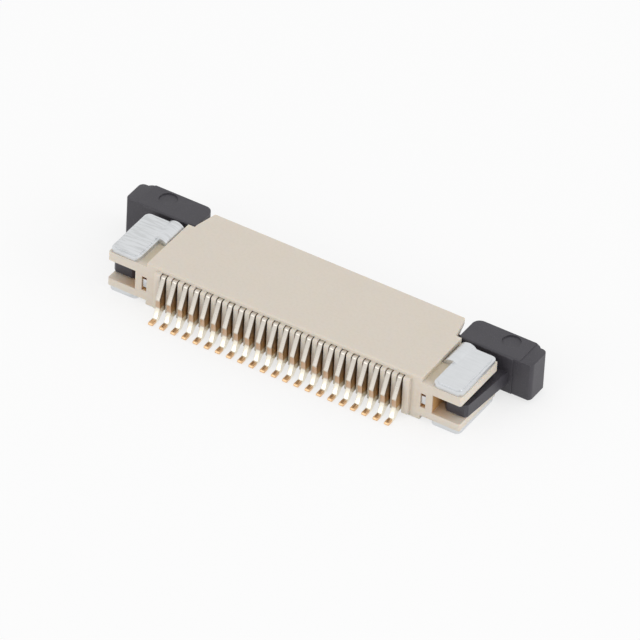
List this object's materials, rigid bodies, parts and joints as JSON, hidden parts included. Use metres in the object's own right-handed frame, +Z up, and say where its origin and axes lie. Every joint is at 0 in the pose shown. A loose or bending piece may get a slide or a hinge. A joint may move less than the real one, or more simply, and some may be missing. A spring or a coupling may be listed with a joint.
{
  "type": "fpc connector",
  "caption": "Right-angle surface-mount connector for a flat flexible cable, with a pull-out slider lock, stamped contacts and solder hold-downs.",
  "frame": {"origin": "middle of the footprint on the circuit board's face, midway between the tips of the contact feet and the back of the slider's grips when it is shut", "axes": "+X along the contact row, +Y out of the cable's side (the way the slider pulls), +Z up from the circuit board; the contact tails point to -Y"},
  "size_m": [0.0182, 0.0054, 0.0021],
  "materials": {
    "housing_plastic": "moulded heat-resistant nylon, natural beige, satin",
    "slider_plastic": "moulded black-grey plastic, fine matt",
    "contact_metal": "stamped bronze sheet, plated, warm grey faces and golden cut edges",
    "tin_plate": "tin-plated sheet, satin, coined border"
  },
  "bodies": {
    "base": {"housing": "housing_plastic", "left_hold_down": "tin_plate", "right_hold_down": "tin_plate", "contact_01": "contact_metal", "contact_02": "contact_metal", "contact_03": "contact_metal", "contact_04": "contact_metal", "contact_05": "contact_metal", "contact_06": "contact_metal", "contact_07": "contact_metal", "contact_08": "contact_metal", "contact_09": "contact_metal", "contact_10": "contact_metal", "contact_11": "contact_metal", "contact_12": "contact_metal", "contact_13": "contact_metal", "contact_14": "contact_metal", "contact_15": "contact_metal", "contact_16": "contact_metal", "contact_17": "contact_metal", "contact_18": "contact_metal", "contact_19": "contact_metal", "contact_20": "contact_metal", "contact_21": "contact_metal", "contact_22": "contact_metal"},
    "lock": {"slider": "slider_plastic"}
  },
  "joints": [
    {"name": "slider_pull", "type": "slide", "parent": "base", "child": "lock", "axis": [0, 1, 0], "range_m": [0, 0.0008]}
  ]
}
